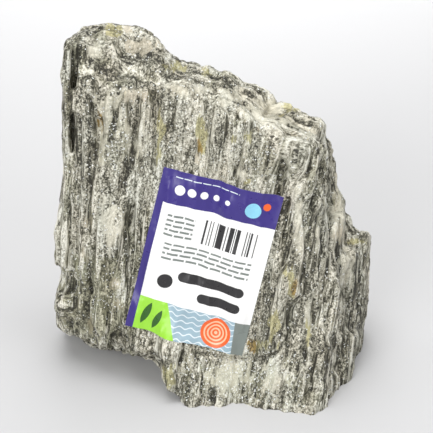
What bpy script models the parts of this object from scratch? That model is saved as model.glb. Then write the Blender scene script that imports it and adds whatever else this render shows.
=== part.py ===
"""A block of mica schist, broken along its layers, with a small adhesive label on its broad face.

The block stands on a flat base. Its broad face looks to -Y, leans back and shows the stretched grains
as upright streaks; the thin layers lie parallel to that face and come out edge-on at the flanks and top.
The shape follows how such a stone breaks: flat fracture planes split a few overlapping slabs, the slabs
grow together into one body, and the clefts, swellings, streaks and layer edges are then worked into it.

Shapes are worked out in millimetres and stored in metres, +Z up.
"""

import math
from typing import NamedTuple

import bmesh
import bpy
import numpy as np
from mathutils import Matrix, Vector, noise
from mathutils.bvhtree import BVHTree

MM = 0.001

# The broad face: how far it leans back, how far its left end stands back, and where it meets the ground.
FACE_LEAN = 0.2126
FACE_YAW = 0.14
FACE_FOOT_Y = -33.0

# Directions of the stone's fabric.
FACE_NORMAL = Vector((-FACE_YAW, -1.0, FACE_LEAN)).normalized()
FACE_UP = (Vector((0, 0, 1)) - FACE_NORMAL * FACE_NORMAL.z).normalized()
FACE_RIGHT = FACE_UP.cross(FACE_NORMAL)
STREAK_LEAN = math.radians(5.0)
STREAK = (FACE_UP * math.cos(STREAK_LEAN) + FACE_RIGHT * math.sin(STREAK_LEAN)).normalized()
ACROSS = STREAK.cross(FACE_NORMAL)

# Clefts and swellings are placed as seen from the front and this far above it.
SIGHT_HEIGHT = math.radians(30.0)
SIGHT = Vector((0, -math.cos(SIGHT_HEIGHT), math.sin(SIGHT_HEIGHT)))
SIGHT_FOOT_Y = -40.0

# Fineness of the grown-together body, and of the solid that is kept.
VOXEL = 1.8
BELOW_GROUND = -8.0
ROCK_TRIANGLES = 9300
SHORTEST_EDGE = 0.02

# The outermost layer of the broad face, which broke off along its lower edge.
PLATE_THICKNESS = 9.0

# Relief: height and spacing of each kind of unevenness, and which noise it follows.
LUMP_HEIGHT, LUMP_SIZE, LUMP_SEED = 1.8, 34.0, 3.1
GRAIN_HEIGHT, GRAIN_SIZE, GRAIN_SEED = 0.9, 11.0, 11.7
RIB_DEPTH, RIB_WIDTH, RIB_LENGTH, RIB_REACH, RIB_SEED = 3.2, 12.5, 110.0, 24.0, 5.9
LAYER_DEPTH, LAYER_THICKNESS, LAYER_LENGTH, LAYER_SEED = 2.6, 7.5, 80.0, 8.3
SEED_STEP = Vector((1.0, 0.7, -1.3))
FULLNESS = 0.7

# How narrow a furrow is between two ribs or layers, and how much of a rib is lost where layers end.
FURROW_SHARPNESS = 2.2
RIB_LOSS = 0.5

# Where a cleft and a swelling fade out, in half widths, and how they fade on surfaces turned away.
CLEFT_REACH, SWELLING_REACH = 1.7, 1.4
FACING_GAIN, FACING_REST = 2.5, 0.2

# The label: an A8 sheet turned clockwise, held off the stone by its glue.
LABEL_WIDTH, LABEL_HEIGHT = 52.0, 74.0
LABEL_THICKNESS = 0.3
LABEL_GAP = 0.35
LABEL_TURN = math.radians(12.0)
LABEL_CENTRE = Vector((-4.1, -17.7, 60.0))
LABEL_COLUMNS, LABEL_ROWS = 13, 18
LABEL_SAMPLE = 1.0

# How the sheet settles: rounds of sagging onto the stone, evenings in each, and evenings at the end.
SAGGING_ROUNDS, EVENINGS_IN_A_ROUND, LAST_EVENINGS = 24, 4, 6
OWN_SHARE = 0.5
RAY_START = 40.0

ROCK_COLOUR = (0.42, 0.42, 0.38, 1.0)
LABEL_COLOUR = (0.62, 0.60, 0.78, 1.0)


class Cleft(NamedTuple):
    """A narrow furrow between two places, each given as seen from the front: across and up."""

    across: float
    up: float
    end_across: float
    end_up: float
    half_width: float
    depth: float


class Swelling(NamedTuple):
    """A long rounded grain that stands out of the surface; a negative height makes a hollow."""

    across: float
    up: float
    half_width: float
    half_length: float
    height: float


CLEFTS = [
    # The open crack at the left edge, dying out downwards.
    Cleft(-58.0, 124.0, -58.4, 101.0, 2.2, 5.2),
    Cleft(-58.4, 101.0, -56.7, 82.0, 2.0, 2.9),
    Cleft(-61.4, 88.0, -61.0, 57.0, 2.2, 3.1),
    # The waist of the left edge.
    Cleft(-70.0, 57.0, -64.0, 56.0, 4.5, 1.4),
    # Furrows of the broad face.
    Cleft(-53.7, 64.0, -52.9, 50.0, 2.2, 2.3),
    Cleft(-34.5, 86.0, -36.7, 46.0, 2.6, 2.3),
    Cleft(-52.0, 133.0, -48.0, 120.0, 1.8, 2.6),
    Cleft(-48.0, 120.0, -49.1, 108.0, 1.8, 1.8),
    Cleft(-25.3, 135.0, -24.4, 124.0, 2.0, 2.3),
    Cleft(-4.5, 124.0, -5.3, 108.0, 1.8, 1.6),
    Cleft(14.2, 116.0, 8.3, 99.0, 2.0, 1.8),
    Cleft(29.1, 106.0, 27.4, 90.0, 2.0, 2.6),
    Cleft(31.2, 87.5, 29.5, 62.0, 2.4, 4.2),
    # Furrows of the right flank.
    Cleft(41.8, 110.0, 37.6, 88.0, 1.8, 2.3),
    Cleft(46.1, 114.0, 45.2, 98.0, 1.8, 2.9),
    Cleft(45.2, 98.0, 41.8, 86.0, 1.8, 2.9),
    Cleft(38.9, 84.0, 38.9, 62.0, 1.9, 3.4),
    Cleft(38.9, 62.0, 40.6, 52.0, 1.9, 3.4),
    Cleft(50.8, 86.0, 49.9, 68.0, 1.8, 3.1),
    Cleft(45.2, 82.0, 46.9, 66.0, 1.8, 2.3),
    Cleft(43.1, 49.0, 41.8, 4.0, 1.8, 2.9),
    Cleft(48.2, 47.0, 48.2, 27.0, 1.8, 2.3),
    Cleft(58.0, 59.0, 58.4, 34.0, 2.3, 4.2),
    Cleft(54.2, 30.0, 55.0, 16.0, 1.8, 2.9),
    Cleft(51.2, 15.0, 51.2, 5.0, 1.6, 2.9),
    Cleft(60.5, 45.4, 67.0, 45.4, 1.8, 3.4),
    Cleft(60.0, 34.0, 66.0, 33.6, 1.8, 2.9),
    # Furrows of the foot.
    Cleft(39.3, 26.0, 40.6, 3.0, 2.0, 2.1),
    Cleft(1.5, 20.0, 0.2, 4.0, 2.2, 1.8),
    Cleft(14.2, 20.5, 13.8, 4.0, 2.2, 1.8),
    Cleft(-15.0, 20.5, -13.8, 5.0, 2.2, 2.1),
    # Layer ends on the top.
    Cleft(28.2, 132.0, 22.5, 126.0, 1.8, 2.9),
    Cleft(4.0, 129.0, 11.5, 123.0, 2.0, 2.1),
]

SWELLINGS = [
    Swelling(-42.3, 76.5, 4.8, 15.5, 1.9),
    Swelling(-41.4, 51.0, 3.2, 6.0, 1.5),
    Swelling(-52.0, 92.0, 3.6, 12.0, 1.2),
    Swelling(-44.8, 129.0, 4.8, 5.0, 1.0),
    Swelling(-22.2, 123.0, 1.9, 12.0, 1.0),
    Swelling(14.7, 102.5, 3.2, 6.0, 1.0),
    Swelling(35.6, 77.0, 2.8, 14.0, 1.6),
    Swelling(35.2, 52.5, 3.0, 6.0, 1.6),
    Swelling(7.9, 14.5, 4.0, 7.0, 1.2),
    Swelling(27.0, 11.5, 5.0, 7.0, 1.2),
    Swelling(54.5, 47.0, 2.6, 14.0, 1.4),
    Swelling(64.6, 57.0, 3.0, 9.0, 1.6),
    Swelling(63.0, 29.0, 2.6, 4.5, 1.6),
    Swelling(-66.5, 77.0, 4.0, 9.0, 0.4),
    Swelling(-66.5, 43.0, 4.0, 8.0, 2.0),
    Swelling(-51.0, 155.0, 4.0, 5.0, -1.6),
    Swelling(-40.0, 144.0, 7.0, 3.5, -1.2),
]


def clear_scene():
    """Removes what the startup file holds."""
    for thing in list(bpy.data.objects):
        bpy.data.objects.remove(thing)


def material(name, colour, roughness):
    """A plain surface of one colour."""
    made = bpy.data.materials.new(name)
    made.use_nodes = True
    shader = made.node_tree.nodes["Principled BSDF"]
    shader.inputs["Base Color"].default_value = colour
    shader.inputs["Roughness"].default_value = roughness
    shader.inputs["Metallic"].default_value = 0.0
    return made


def collection(name):
    """A new collection in the scene."""
    made = bpy.data.collections.new(name)
    bpy.context.scene.collection.children.link(made)
    return made


def split_by_plane(body, point, normal):
    """Takes away what lies beyond a flat fracture, and closes the break."""
    made = bmesh.ops.bisect_plane(
        body,
        geom=body.verts[:] + body.edges[:] + body.faces[:],
        plane_co=point,
        plane_no=Vector(normal).normalized(),
        clear_outer=True,
    )
    rim = [part for part in made["geom_cut"] if isinstance(part, bmesh.types.BMEdge)]
    if rim:
        bmesh.ops.holes_fill(body, edges=rim)


def slab(name, low, high, fractures, home):
    """A closed slab between two corners, split by flat fractures, each a point on it and its outward normal."""
    body = bmesh.new()
    bmesh.ops.create_cube(body, size=1.0)
    low, high = Vector(low), Vector(high)
    bmesh.ops.scale(body, vec=high - low, verts=body.verts)
    bmesh.ops.translate(body, vec=(high + low) / 2, verts=body.verts)
    for point, normal in fractures:
        split_by_plane(body, point, normal)
    bmesh.ops.recalc_face_normals(body, faces=body.faces)
    bmesh.ops.scale(body, vec=(MM, MM, MM), verts=body.verts)
    mesh = bpy.data.meshes.new(name)
    body.to_mesh(mesh)
    body.free()
    made = bpy.data.objects.new(name, mesh)
    home.objects.link(made)
    made.hide_render = True
    made.display_type = "WIRE"
    return made


def on_face(x, z, back=0.0):
    """A point on the broad face at a width and height, or on a layer that many millimetres behind it."""
    return (x, FACE_FOOT_Y + FACE_LEAN * z - FACE_YAW * x + back, z)


FACE = (on_face(0, 60), FACE_NORMAL)
BACK_FRACTURES = [
    ((0, 41, 60), (0.06, 1.0, 0.10)),
    ((-61, 31, 60), (-0.80, 0.60, 0.03)),
    ((40, 32, 60), (0.62, 0.76, 0.14)),
]
UNDERCUT = ((-28, -27.5, 16.0), (-0.656, -0.70, -0.285))
UNDERSIDE = ((-43.4, -12, 11.1), (-0.14, -0.464, -0.90))
HEEL_UNDERCUT = ((-30, -35.0, 16.0), (-0.656, -0.70, -0.285))
HEEL_UNDERSIDE = ((-46, -12, 9.8), (-0.41, -0.464, -0.90))
TOP_LEFT_SLOPE = ((0, 15, 137.5), (0.315, -0.297, 0.90))
TOP_RIGHT_SLOPE = ((36.7, 8, 124.2), (0.62, 0.0, 0.785))
BACK_OF_TOP = ((0, 15, 134.5), (0.36, 0.72, 0.60))
BACK_OF_PEAK = ((-32, 25, 153.2), (0.494, 0.652, 0.574))
RIGHT_FLANK = ((50.6, 6, 98), (0.95, -0.28, 0.10))


def core(home):
    """The thick middle of the block, just behind the broad face."""
    fractures = [
        (on_face(0, 60, 3.2), FACE_NORMAL),
        ((-40, 0, 136.5), (0, 0, 1)),
        TOP_LEFT_SLOPE,
        TOP_RIGHT_SLOPE,
        BACK_OF_TOP,
        RIGHT_FLANK,
        UNDERCUT,
        UNDERSIDE,
        ((-58.5, 4, 120), (-1.0, 0.10, 0.0)),
        *BACK_FRACTURES,
    ]
    return slab("core", (-66, -50, BELOW_GROUND), (60, 44, 150), fractures, home)


def face_plate(home):
    """The outermost layer of the broad face, whose lower right edge broke off in an arc."""
    return slab(
        "face_plate",
        (-70, -60, 12),
        (50, 20, 150),
        [
            FACE,
            (on_face(0, 60, PLATE_THICKNESS), -FACE_NORMAL),
            TOP_LEFT_SLOPE,
            ((-35, 0.5, 132.5), (0.0, -0.45, 0.89)),
            UNDERCUT,
            UNDERSIDE,
            ((-59.5, 3, 130), (-1.0, -0.25, 0.05)),
            (on_face(0, 20.5), (0.05, 0.0, -1.0)),
            (on_face(20, 22.5), (0.62, 0.0, -0.78)),
            (on_face(29, 42), (0.97, 0.0, -0.25)),
        ],
        home,
    )


def upper_plate(home):
    """The same layer where it runs on to the right above the broken arc, down to a chipped wedge."""
    return slab(
        "upper_plate",
        (10, -60, 45),
        (50, 10, 140),
        [
            (on_face(0, 60, 0.3), FACE_NORMAL),
            (on_face(0, 60, PLATE_THICKNESS), -FACE_NORMAL),
            TOP_LEFT_SLOPE,
            ((39, -13, 117), (0.35, -0.45, 0.82)),
            (on_face(41, 80), (0.90, -0.42, 0.06)),
            (on_face(37, 46.5), (0.12, 0.0, -0.99)),
            (on_face(31, 50), (-0.75, 0.0, -0.66)),
        ],
        home,
    )


def foot(home):
    """The lower front of the block, which leans back more than the face above it and meets the ground."""
    left = slab(
        "foot_left",
        (-25.5, -60, BELOW_GROUND),
        (18, 10, 60),
        [
            ((0, -39.0, 0), (0.10, -1.0, 0.48)),
            ((-25, -20, 10), (-1.0, -0.25, 0.0)),
            ((-14, -33, 0), (-0.67, -0.10, -0.74)),
            ((0, -10, 50), (-0.2, 0.0, 0.98)),
        ],
        home,
    )
    right = slab(
        "foot_right",
        (4, -60, BELOW_GROUND),
        (51, 10, 60),
        [
            ((36, -46.8, 0), (-0.33, -1.0, 0.52)),
            ((50.2, -36, 0), (0.90, -0.43, 0.12)),
            ((20, -44, 2), (-0.45, -0.85, -0.20)),
            ((0, -10, 58), (0.25, 0.0, 0.97)),
        ],
        home,
    )
    return [left, right]


def right_buttress(home):
    """The lower slab at the right, which stands further back and ends in a ledge."""
    return slab(
        "right_buttress",
        (28, -60, BELOW_GROUND),
        (72, 36, 64),
        [
            ((0, -33.5, 0), (-0.19, -1.0, 0.40)),
            ((50.6, -36, 0), (0.90, -0.43, 0.06)),
            ((62.2, -8, 0), (0.965, -0.26, -0.08)),
            ((69.4, 4, 47), (0.99, -0.12, 0.10)),
            ((62, 5, 58), (0.15, -0.20, 0.97)),
            ((65, 12, 58.9), (0.25, 0.55, 0.80)),
            ((60, 28, 30), (0.70, 0.71, 0.05)),
        ],
        home,
    )


def ledge_fins(home):
    """Two thin layers that stand up behind the ledge of the right buttress."""
    tall = slab(
        "tall_fin",
        (44, 2, 20),
        (64, 20, 69.5),
        [
            ((56, 5, 60), (0.30, -0.95, 0.10)),
            ((59.5, 12, 62.0), (0.75, 0.0, 0.66)),
            ((60, 18, 60), (0.30, 0.90, 0.30)),
        ],
        home,
    )
    short = slab(
        "short_fin",
        (58, 6, 20),
        (67.5, 20, 61.5),
        [
            ((64, 9, 60), (0.20, -0.97, 0.10)),
            ((66.4, 12, 58), (0.93, 0.0, 0.36)),
            ((62, 12, 55.4), (-0.20, 0.10, 0.97)),
            ((64, 17, 60), (0.30, 0.90, 0.30)),
        ],
        home,
    )
    return [tall, short]


def flank_rib(home):
    """A thick upright layer on the right flank, between the broad face and the buttress."""
    return slab(
        "flank_rib",
        (36, -40, BELOW_GROUND),
        (56, 10, 78),
        [
            ((46, -27, 30), (0.10, -0.97, 0.24)),
            ((53, -18, 40), (0.90, -0.42, 0.10)),
            ((50, -12, 74), (0.50, -0.30, 0.81)),
        ],
        home,
    )


def crest(home):
    """A layer end that makes the step in the skyline to the right of the peak."""
    return slab(
        "crest",
        (2, -8, 100),
        (28, 18, 131),
        [
            ((18, 12, 127.8), (0.10, -0.30, 0.95)),
            ((26.5, 8, 125), (0.88, 0.0, 0.47)),
            ((16, 14, 128), (0.10, 0.75, 0.65)),
            ((4, 0, 128), (-0.60, -0.20, 0.77)),
        ],
        home,
    )


def peak(home):
    """The highest part, at the back left, with a rough face sloping down to the front."""
    return slab(
        "peak",
        (-62, -20, 100),
        (-6, 42, 158),
        [
            FACE,
            ((-36, 0.5, 133), (0.03, -0.64, 0.766)),
            ((-37, 25, 153.0), (-0.20, 0.05, 0.98)),
            ((-50, 22, 151.5), (-0.62, 0.05, 0.78)),
            ((-54, 8.9, 139.5), (-0.93, -0.10, 0.35)),
            ((-28.2, 23.4, 150.4), (0.74, 0.05, 0.67)),
            ((-42, 25, 153.5), (0.0, 0.75, 0.66)),
            BACK_OF_PEAK,
            ((-58.5, 4, 120), (-1.0, 0.10, 0.0)),
            *BACK_FRACTURES,
        ],
        home,
    )


def left_slab(home):
    """The slab behind the broad face's left edge, parted from it by an open crack in its upper half."""
    return slab(
        "left_slab",
        (-67, -20, 2),
        (-46, 38, 150),
        [
            ((-63, 0, 60), (-0.45, -0.89, 0.05)),
            ((-61.0, -2, 120), (0.97, -0.24, 0.0)),
            ((-64, 8, 148.0), (-0.45, 0.20, 0.87)),
            ((-64.2, 5, 100), (-1.0, -0.03, 0.05)),
            ((-50, 29, 150), (0.0, 0.60, 0.80)),
            UNDERCUT,
            HEEL_UNDERSIDE,
            *BACK_FRACTURES,
        ],
        home,
    )


def slab_root(home):
    """The back of the crack, where the left slab grows out of the body."""
    return slab(
        "slab_root",
        (-65, 8, 60),
        (-40, 38, 150),
        [
            ((-60, 10.5, 120), (-0.20, -0.97, 0.10)),
            ((-62, 16, 146.8), (-0.40, 0.10, 0.90)),
            ((-50, 29, 150), (0.0, 0.60, 0.80)),
            ((-63.8, 5, 100), (-1.0, -0.05, 0.05)),
            *BACK_FRACTURES,
        ],
        home,
    )


def left_filling(home):
    """The stone that closes the crack in the lower half of the left edge."""
    return slab(
        "left_filling",
        (-68.8, -30, 30),
        (-46, 24, 96),
        [
            ((-62, -6, 60), (-0.40, -0.89, 0.21)),
            ((-58, 0, 92), (-0.2, -0.5, 0.84)),
            ((-65.0, 5, 86), (-0.96, 0.0, 0.20)),
            ((-66.0, 0, 46), (-0.60, 0.0, -0.80)),
            UNDERCUT,
            *BACK_FRACTURES,
        ],
        home,
    )


def left_heel(home):
    """The lower left corner, which stands out a little below the waist of the left edge."""
    return slab(
        "left_heel",
        (-69.0, -30, 0.5),
        (-46, 24, 42),
        [
            ((-62, -6, 60), (-0.40, -0.89, 0.21)),
            ((-66.0, 0, 36), (-0.70, 0.0, 0.71)),
            HEEL_UNDERCUT,
            HEEL_UNDERSIDE,
            *BACK_FRACTURES,
        ],
        home,
    )


def crack(home):
    """The open crack between the left slab and the body: a wedge that narrows downwards and inwards."""
    return slab(
        "crack",
        (-65, -40, 88),
        (-55, 11, 170),
        [
            ((-60.4, 4, 120), (-1.0, 0.0, 0.03)),
            ((-58.2, 4, 120), (0.99, -0.04, -0.03)),
            ((-60, 2, 92), (0.0, 0.45, -0.89)),
        ],
        home,
    )


def back_plates(home):
    """Two layers left standing on the hidden side, one lower than the other."""
    left = slab(
        "back_plate_left",
        (-48, 20, BELOW_GROUND),
        (14, 46, 118),
        [
            ((0, 44.5, 60), (0.05, 1.0, 0.11)),
            ((-42, 40, 60), (-0.93, 0.30, 0.15)),
            ((-15, 40, 108), (-0.30, 0.35, 0.88)),
            ((8, 40, 70), (0.90, 0.20, 0.38)),
        ],
        home,
    )
    right = slab(
        "back_plate_right",
        (2, 10, BELOW_GROUND),
        (54, 44, 74),
        [
            ((20, 42, 30), (0.22, 0.97, 0.10)),
            ((20, 36, 62), (0.30, 0.42, 0.85)),
            ((50, 26, 30), (0.88, 0.46, 0.05)),
        ],
        home,
    )
    return [left, right]


def shaped(thing, name, home):
    """The mesh that an object's modifiers make, as a new object."""
    graph = bpy.context.evaluated_depsgraph_get()
    mesh = bpy.data.meshes.new_from_object(thing.evaluated_get(graph))
    thing.modifiers.clear()
    made = bpy.data.objects.new(name, mesh)
    home.objects.link(made)
    return made


def add_even_net(thing):
    """Covers a closed body with an even net of small faces."""
    net = thing.modifiers.new("even net", "REMESH")
    net.mode = "VOXEL"
    net.voxel_size = VOXEL * MM


def grown_together(name, slabs, home):
    """One closed body made of overlapping slabs."""
    body = bmesh.new()
    for piece in slabs:
        body.from_mesh(piece.data)
    mesh = bpy.data.meshes.new(name)
    body.to_mesh(mesh)
    body.free()
    made = bpy.data.objects.new(name, mesh)
    home.objects.link(made)
    add_even_net(made)
    grown = shaped(made, name, home)
    bpy.data.objects.remove(made)
    return grown


def noise_at(point, size, seed):
    """Smooth noise from -1 to 1 whose bumps are about that size."""
    return noise.noise(point / size + SEED_STEP * seed)


def furrowed(value):
    """Turns smooth noise into rounded backs with sharp furrows between them, from -1 in a furrow to 0."""
    return -((1.0 - min(1.0, FURROW_SHARPNESS * abs(value))) ** 2)


def relief(point, normal):
    """How far the broken surface stands out at a point, in millimetres."""
    cut_across = 1.0 - abs(normal.dot(FACE_NORMAL))
    across, along, deep = point.dot(ACROSS), point.dot(STREAK), point.dot(FACE_NORMAL)
    height = FULLNESS + LUMP_HEIGHT * noise_at(point, LUMP_SIZE, LUMP_SEED)
    height += GRAIN_HEIGHT * noise_at(point, GRAIN_SIZE, GRAIN_SEED)
    rib_place = Vector((across / RIB_WIDTH, along / RIB_LENGTH, deep / RIB_REACH))
    height += RIB_DEPTH * furrowed(noise_at(rib_place, 1.0, RIB_SEED)) * (1.0 - RIB_LOSS * cut_across)
    layer_place = Vector((across / LAYER_LENGTH, along / LAYER_LENGTH, deep / LAYER_THICKNESS))
    height += LAYER_DEPTH * furrowed(noise_at(layer_place, 1.0, LAYER_SEED)) * cut_across
    return height


def seen_from_front(point):
    """Where a point lies as seen from the front: across and up."""
    up = (point.y - SIGHT_FOOT_Y) * math.sin(SIGHT_HEIGHT) + point.z * math.cos(SIGHT_HEIGHT)
    return point.x, up


def bell(distance):
    """A smooth falloff from 1 in the middle to 0 at distance 1."""
    return (1.0 - distance * distance) ** 2 if distance < 1.0 else 0.0


def cleft_depth(cleft, across, up):
    """How deep a cleft is at a place."""
    run_across, run_up = cleft.end_across - cleft.across, cleft.end_up - cleft.up
    length = math.hypot(run_across, run_up)
    share = ((across - cleft.across) * run_across + (up - cleft.up) * run_up) / length**2
    share = min(1.0, max(0.0, share))
    away = math.hypot(across - cleft.across - share * run_across, up - cleft.up - share * run_up)
    return cleft.depth * bell(away / (CLEFT_REACH * cleft.half_width))


def features(point, normal):
    """How far the clefts and swellings of the seen side raise a point, in millimetres."""
    facing = max(0.0, min(1.0, FACING_GAIN * normal.dot(SIGHT) + FACING_REST))
    if facing == 0.0:
        return 0.0
    across, up = seen_from_front(point)
    height = -max(cleft_depth(cleft, across, up) for cleft in CLEFTS)
    for grain in SWELLINGS:
        away = math.hypot((across - grain.across) / grain.half_width, (up - grain.up) / grain.half_length)
        height += grain.height * bell(away / SWELLING_REACH)
    return height * facing


def roughen(stone):
    """Works the unevenness into the body."""
    mesh = stone.data
    places = []
    for vertex in mesh.vertices:
        point, normal = vertex.co / MM, vertex.normal
        places.append(vertex.co + normal * (relief(point, normal) + features(point, normal)) * MM)
    for vertex, place in zip(mesh.vertices, places):
        vertex.co = place


def cut_flat_base(stone):
    """Ends the block on the ground plane, in one flat face."""
    body = bmesh.new()
    body.from_mesh(stone.data)
    split_by_plane(body, (0, 0, 0), (0, 0, -1))
    bmesh.ops.dissolve_degenerate(body, dist=SHORTEST_EDGE * MM, edges=body.edges)
    bmesh.ops.triangulate(body, faces=body.faces)
    bmesh.ops.recalc_face_normals(body, faces=body.faces)
    body.to_mesh(stone.data)
    body.free()


def make_rock(home, helpers):
    """The whole stone, as one solid."""
    slabs = [
        core(helpers),
        face_plate(helpers),
        upper_plate(helpers),
        *foot(helpers),
        right_buttress(helpers),
        *ledge_fins(helpers),
        flank_rib(helpers),
        crest(helpers),
        peak(helpers),
        left_slab(helpers),
        slab_root(helpers),
        left_filling(helpers),
        left_heel(helpers),
        *back_plates(helpers),
    ]
    rough = grown_together("grown body", slabs, helpers)
    roughen(rough)
    add_even_net(rough)
    split = rough.modifiers.new("open crack", "BOOLEAN")
    split.operation = "DIFFERENCE"
    split.object = crack(helpers)
    fewer = rough.modifiers.new("fewer faces", "DECIMATE")
    triangles = 2 * len(rough.data.polygons)
    fewer.ratio = ROCK_TRIANGLES / triangles
    fewer.use_collapse_triangulate = True
    rock = shaped(rough, "rock", home)
    bpy.data.objects.remove(rough)
    cut_flat_base(rock)
    rock.data.name = "rock"
    rock.data.materials.clear()
    rock.data.materials.append(material("mica schist", ROCK_COLOUR, 0.7))
    return rock


def label_axes():
    """The label's right and up directions on the broad face."""
    up = FACE_UP * math.cos(LABEL_TURN) + FACE_RIGHT * math.sin(LABEL_TURN)
    right = FACE_RIGHT * math.cos(LABEL_TURN) - FACE_UP * math.sin(LABEL_TURN)
    return right, up


def heights_under_label(rock):
    """The stone's height above the label's plane on a fine grid that covers the label."""
    right, up = label_axes()
    stone = BVHTree.FromObject(rock, bpy.context.evaluated_depsgraph_get())
    columns = round(LABEL_WIDTH / LABEL_SAMPLE) + 1
    rows = round(LABEL_HEIGHT / LABEL_SAMPLE) + 1
    heights = np.zeros((rows, columns))
    for row in range(rows):
        for column in range(columns):
            across = column * LABEL_SAMPLE - LABEL_WIDTH / 2
            along = row * LABEL_SAMPLE - LABEL_HEIGHT / 2
            start = LABEL_CENTRE + right * across + up * along + FACE_NORMAL * RAY_START
            hit = stone.ray_cast(start * MM, -FACE_NORMAL)
            heights[row, column] = RAY_START - hit[3] / MM
    return heights


def blurred(heights):
    """Each height evened out with its neighbours."""
    padded = np.pad(heights, 1, mode="edge")
    middle = padded[1:-1, 1:-1]
    sides = (padded[:-2, 1:-1] + padded[2:, 1:-1] + padded[1:-1, :-2] + padded[1:-1, 2:]) / 4
    return OWN_SHARE * middle + (1.0 - OWN_SHARE) * sides


def carried_by_corners(sheet):
    """The sheet as it lies when only the corners of the label's cells hold it up."""
    for cells in (LABEL_ROWS, LABEL_COLUMNS):
        places = np.arange(len(sheet))
        corners = np.round(np.linspace(0, len(sheet) - 1, cells + 1)).astype(int)
        sheet = np.array([np.interp(places, corners, line[corners]) for line in sheet.T])
    return sheet


def draped(heights):
    """The heights of a springy sheet that lies on the stone's high places and bridges the hollows."""
    sheet = heights.copy()
    for _ in range(SAGGING_ROUNDS):
        for _ in range(EVENINGS_IN_A_ROUND):
            sheet = blurred(sheet)
        sheet = np.maximum(sheet, heights)
    for _ in range(LAST_EVENINGS):
        sheet = blurred(sheet)
    shortfall = (heights - carried_by_corners(sheet)).max()
    return sheet + max(0.0, shortfall) + LABEL_GAP


def make_label(home, rock):
    """The thin label, lying on the stone a hair's breadth off it."""
    right, up = label_axes()
    sheet = draped(heights_under_label(rock))
    body = bmesh.new()
    turn = Matrix((right, up, FACE_NORMAL)).transposed()
    bmesh.ops.create_grid(body, x_segments=LABEL_COLUMNS, y_segments=LABEL_ROWS, size=0.5)
    for vertex in body.verts:
        across, along = vertex.co.x * LABEL_WIDTH, vertex.co.y * LABEL_HEIGHT
        column = round((across + LABEL_WIDTH / 2) / LABEL_SAMPLE)
        row = round((along + LABEL_HEIGHT / 2) / LABEL_SAMPLE)
        place = LABEL_CENTRE + turn @ Vector((across, along, sheet[row, column]))
        vertex.co = place * MM
    mesh = bpy.data.meshes.new("label")
    body.to_mesh(mesh)
    body.free()
    label = bpy.data.objects.new("label", mesh)
    home.objects.link(label)
    thickness = label.modifiers.new("paper", "SOLIDIFY")
    thickness.thickness = LABEL_THICKNESS * MM
    thickness.offset = 1.0
    mesh.materials.append(material("label paper", LABEL_COLOUR, 0.35))
    return label


def stand_in_the_middle(things, stone):
    """Moves everything so that the origin lies under the middle of the stone's box."""
    for axis in (0, 1):
        places = [vertex.co[axis] for vertex in stone.data.vertices]
        middle = (min(places) + max(places)) / 2
        for thing in things:
            for vertex in thing.data.vertices:
                vertex.co[axis] -= middle


def main():
    """Builds the stone and its label."""
    clear_scene()
    home = collection("mica schist block")
    helpers = collection("slabs it grew from")
    helpers.hide_render = True
    rock = make_rock(home, helpers)
    label = make_label(home, rock)
    stand_in_the_middle([rock, label], rock)


main()
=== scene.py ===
"""The looks of a block of mica schist with a small adhesive label on its broad face.

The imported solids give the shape. The stone is carved finer here: ribs along its stretched grains, layer
edges where it broke across them, flakes, furrows and crumbs, and a fabric that its mineral pattern follows.
The label is a printed sheet of paper pressed onto the finished stone.

Lengths are in millimetres unless a name says otherwise; meshes are stored in metres, +Z up.
"""

from __future__ import annotations

import logging
import math
from dataclasses import dataclass, field
from enum import Enum
from typing import Any

import bpy
import numpy as np
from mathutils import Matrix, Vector, noise
from mathutils.bvhtree import BVHTree


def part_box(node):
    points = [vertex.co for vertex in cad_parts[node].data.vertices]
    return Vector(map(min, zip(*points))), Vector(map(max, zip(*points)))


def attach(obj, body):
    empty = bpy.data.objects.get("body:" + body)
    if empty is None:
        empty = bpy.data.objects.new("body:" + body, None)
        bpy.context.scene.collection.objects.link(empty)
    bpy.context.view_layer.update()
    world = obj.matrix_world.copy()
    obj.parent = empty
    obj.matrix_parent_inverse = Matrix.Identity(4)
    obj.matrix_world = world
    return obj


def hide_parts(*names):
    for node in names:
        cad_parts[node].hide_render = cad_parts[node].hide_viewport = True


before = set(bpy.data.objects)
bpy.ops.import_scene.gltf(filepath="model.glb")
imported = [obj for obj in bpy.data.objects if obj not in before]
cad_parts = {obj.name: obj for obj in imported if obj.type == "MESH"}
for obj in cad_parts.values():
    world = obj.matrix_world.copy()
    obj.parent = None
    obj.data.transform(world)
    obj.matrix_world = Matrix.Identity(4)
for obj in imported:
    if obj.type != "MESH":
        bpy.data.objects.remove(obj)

LOG = logging.getLogger("schist")
MM = 0.001
BODY = "root"

# Kinds of values that many names share: a box is a rectangle's left, low, right and high.
Array = np.ndarray
Tree = bpy.types.NodeTree
Span = tuple[float, float]
Triple = tuple[float, float, float]
Box = tuple[float, float, float, float]

# The photograph: its side in pixels, and how many of them one millimetre of the stone covers.
PICTURE_SIDE = 433
PIXELS_PER_MM = 2.354

# How a seed moves a noise pattern along each axis.
SEED_WAY = np.array((1.0, 0.7, -1.3))


def linear(colour: str, alpha: float = 1.0) -> tuple[float, float, float, float]:
    """Turns an sRGB hex value into linear light.

    Args:
        colour: Six hex digits after a hash sign.
        alpha: Opacity.

    Returns:
        Red, green, blue and alpha for a shader socket.
    """
    parts = [int(colour[place : place + 2], 16) / 255 for place in (1, 3, 5)]
    light = [part / 12.92 if part <= 0.04045 else ((part + 0.055) / 1.055) ** 2.4 for part in parts]
    return light[0], light[1], light[2], alpha


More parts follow.
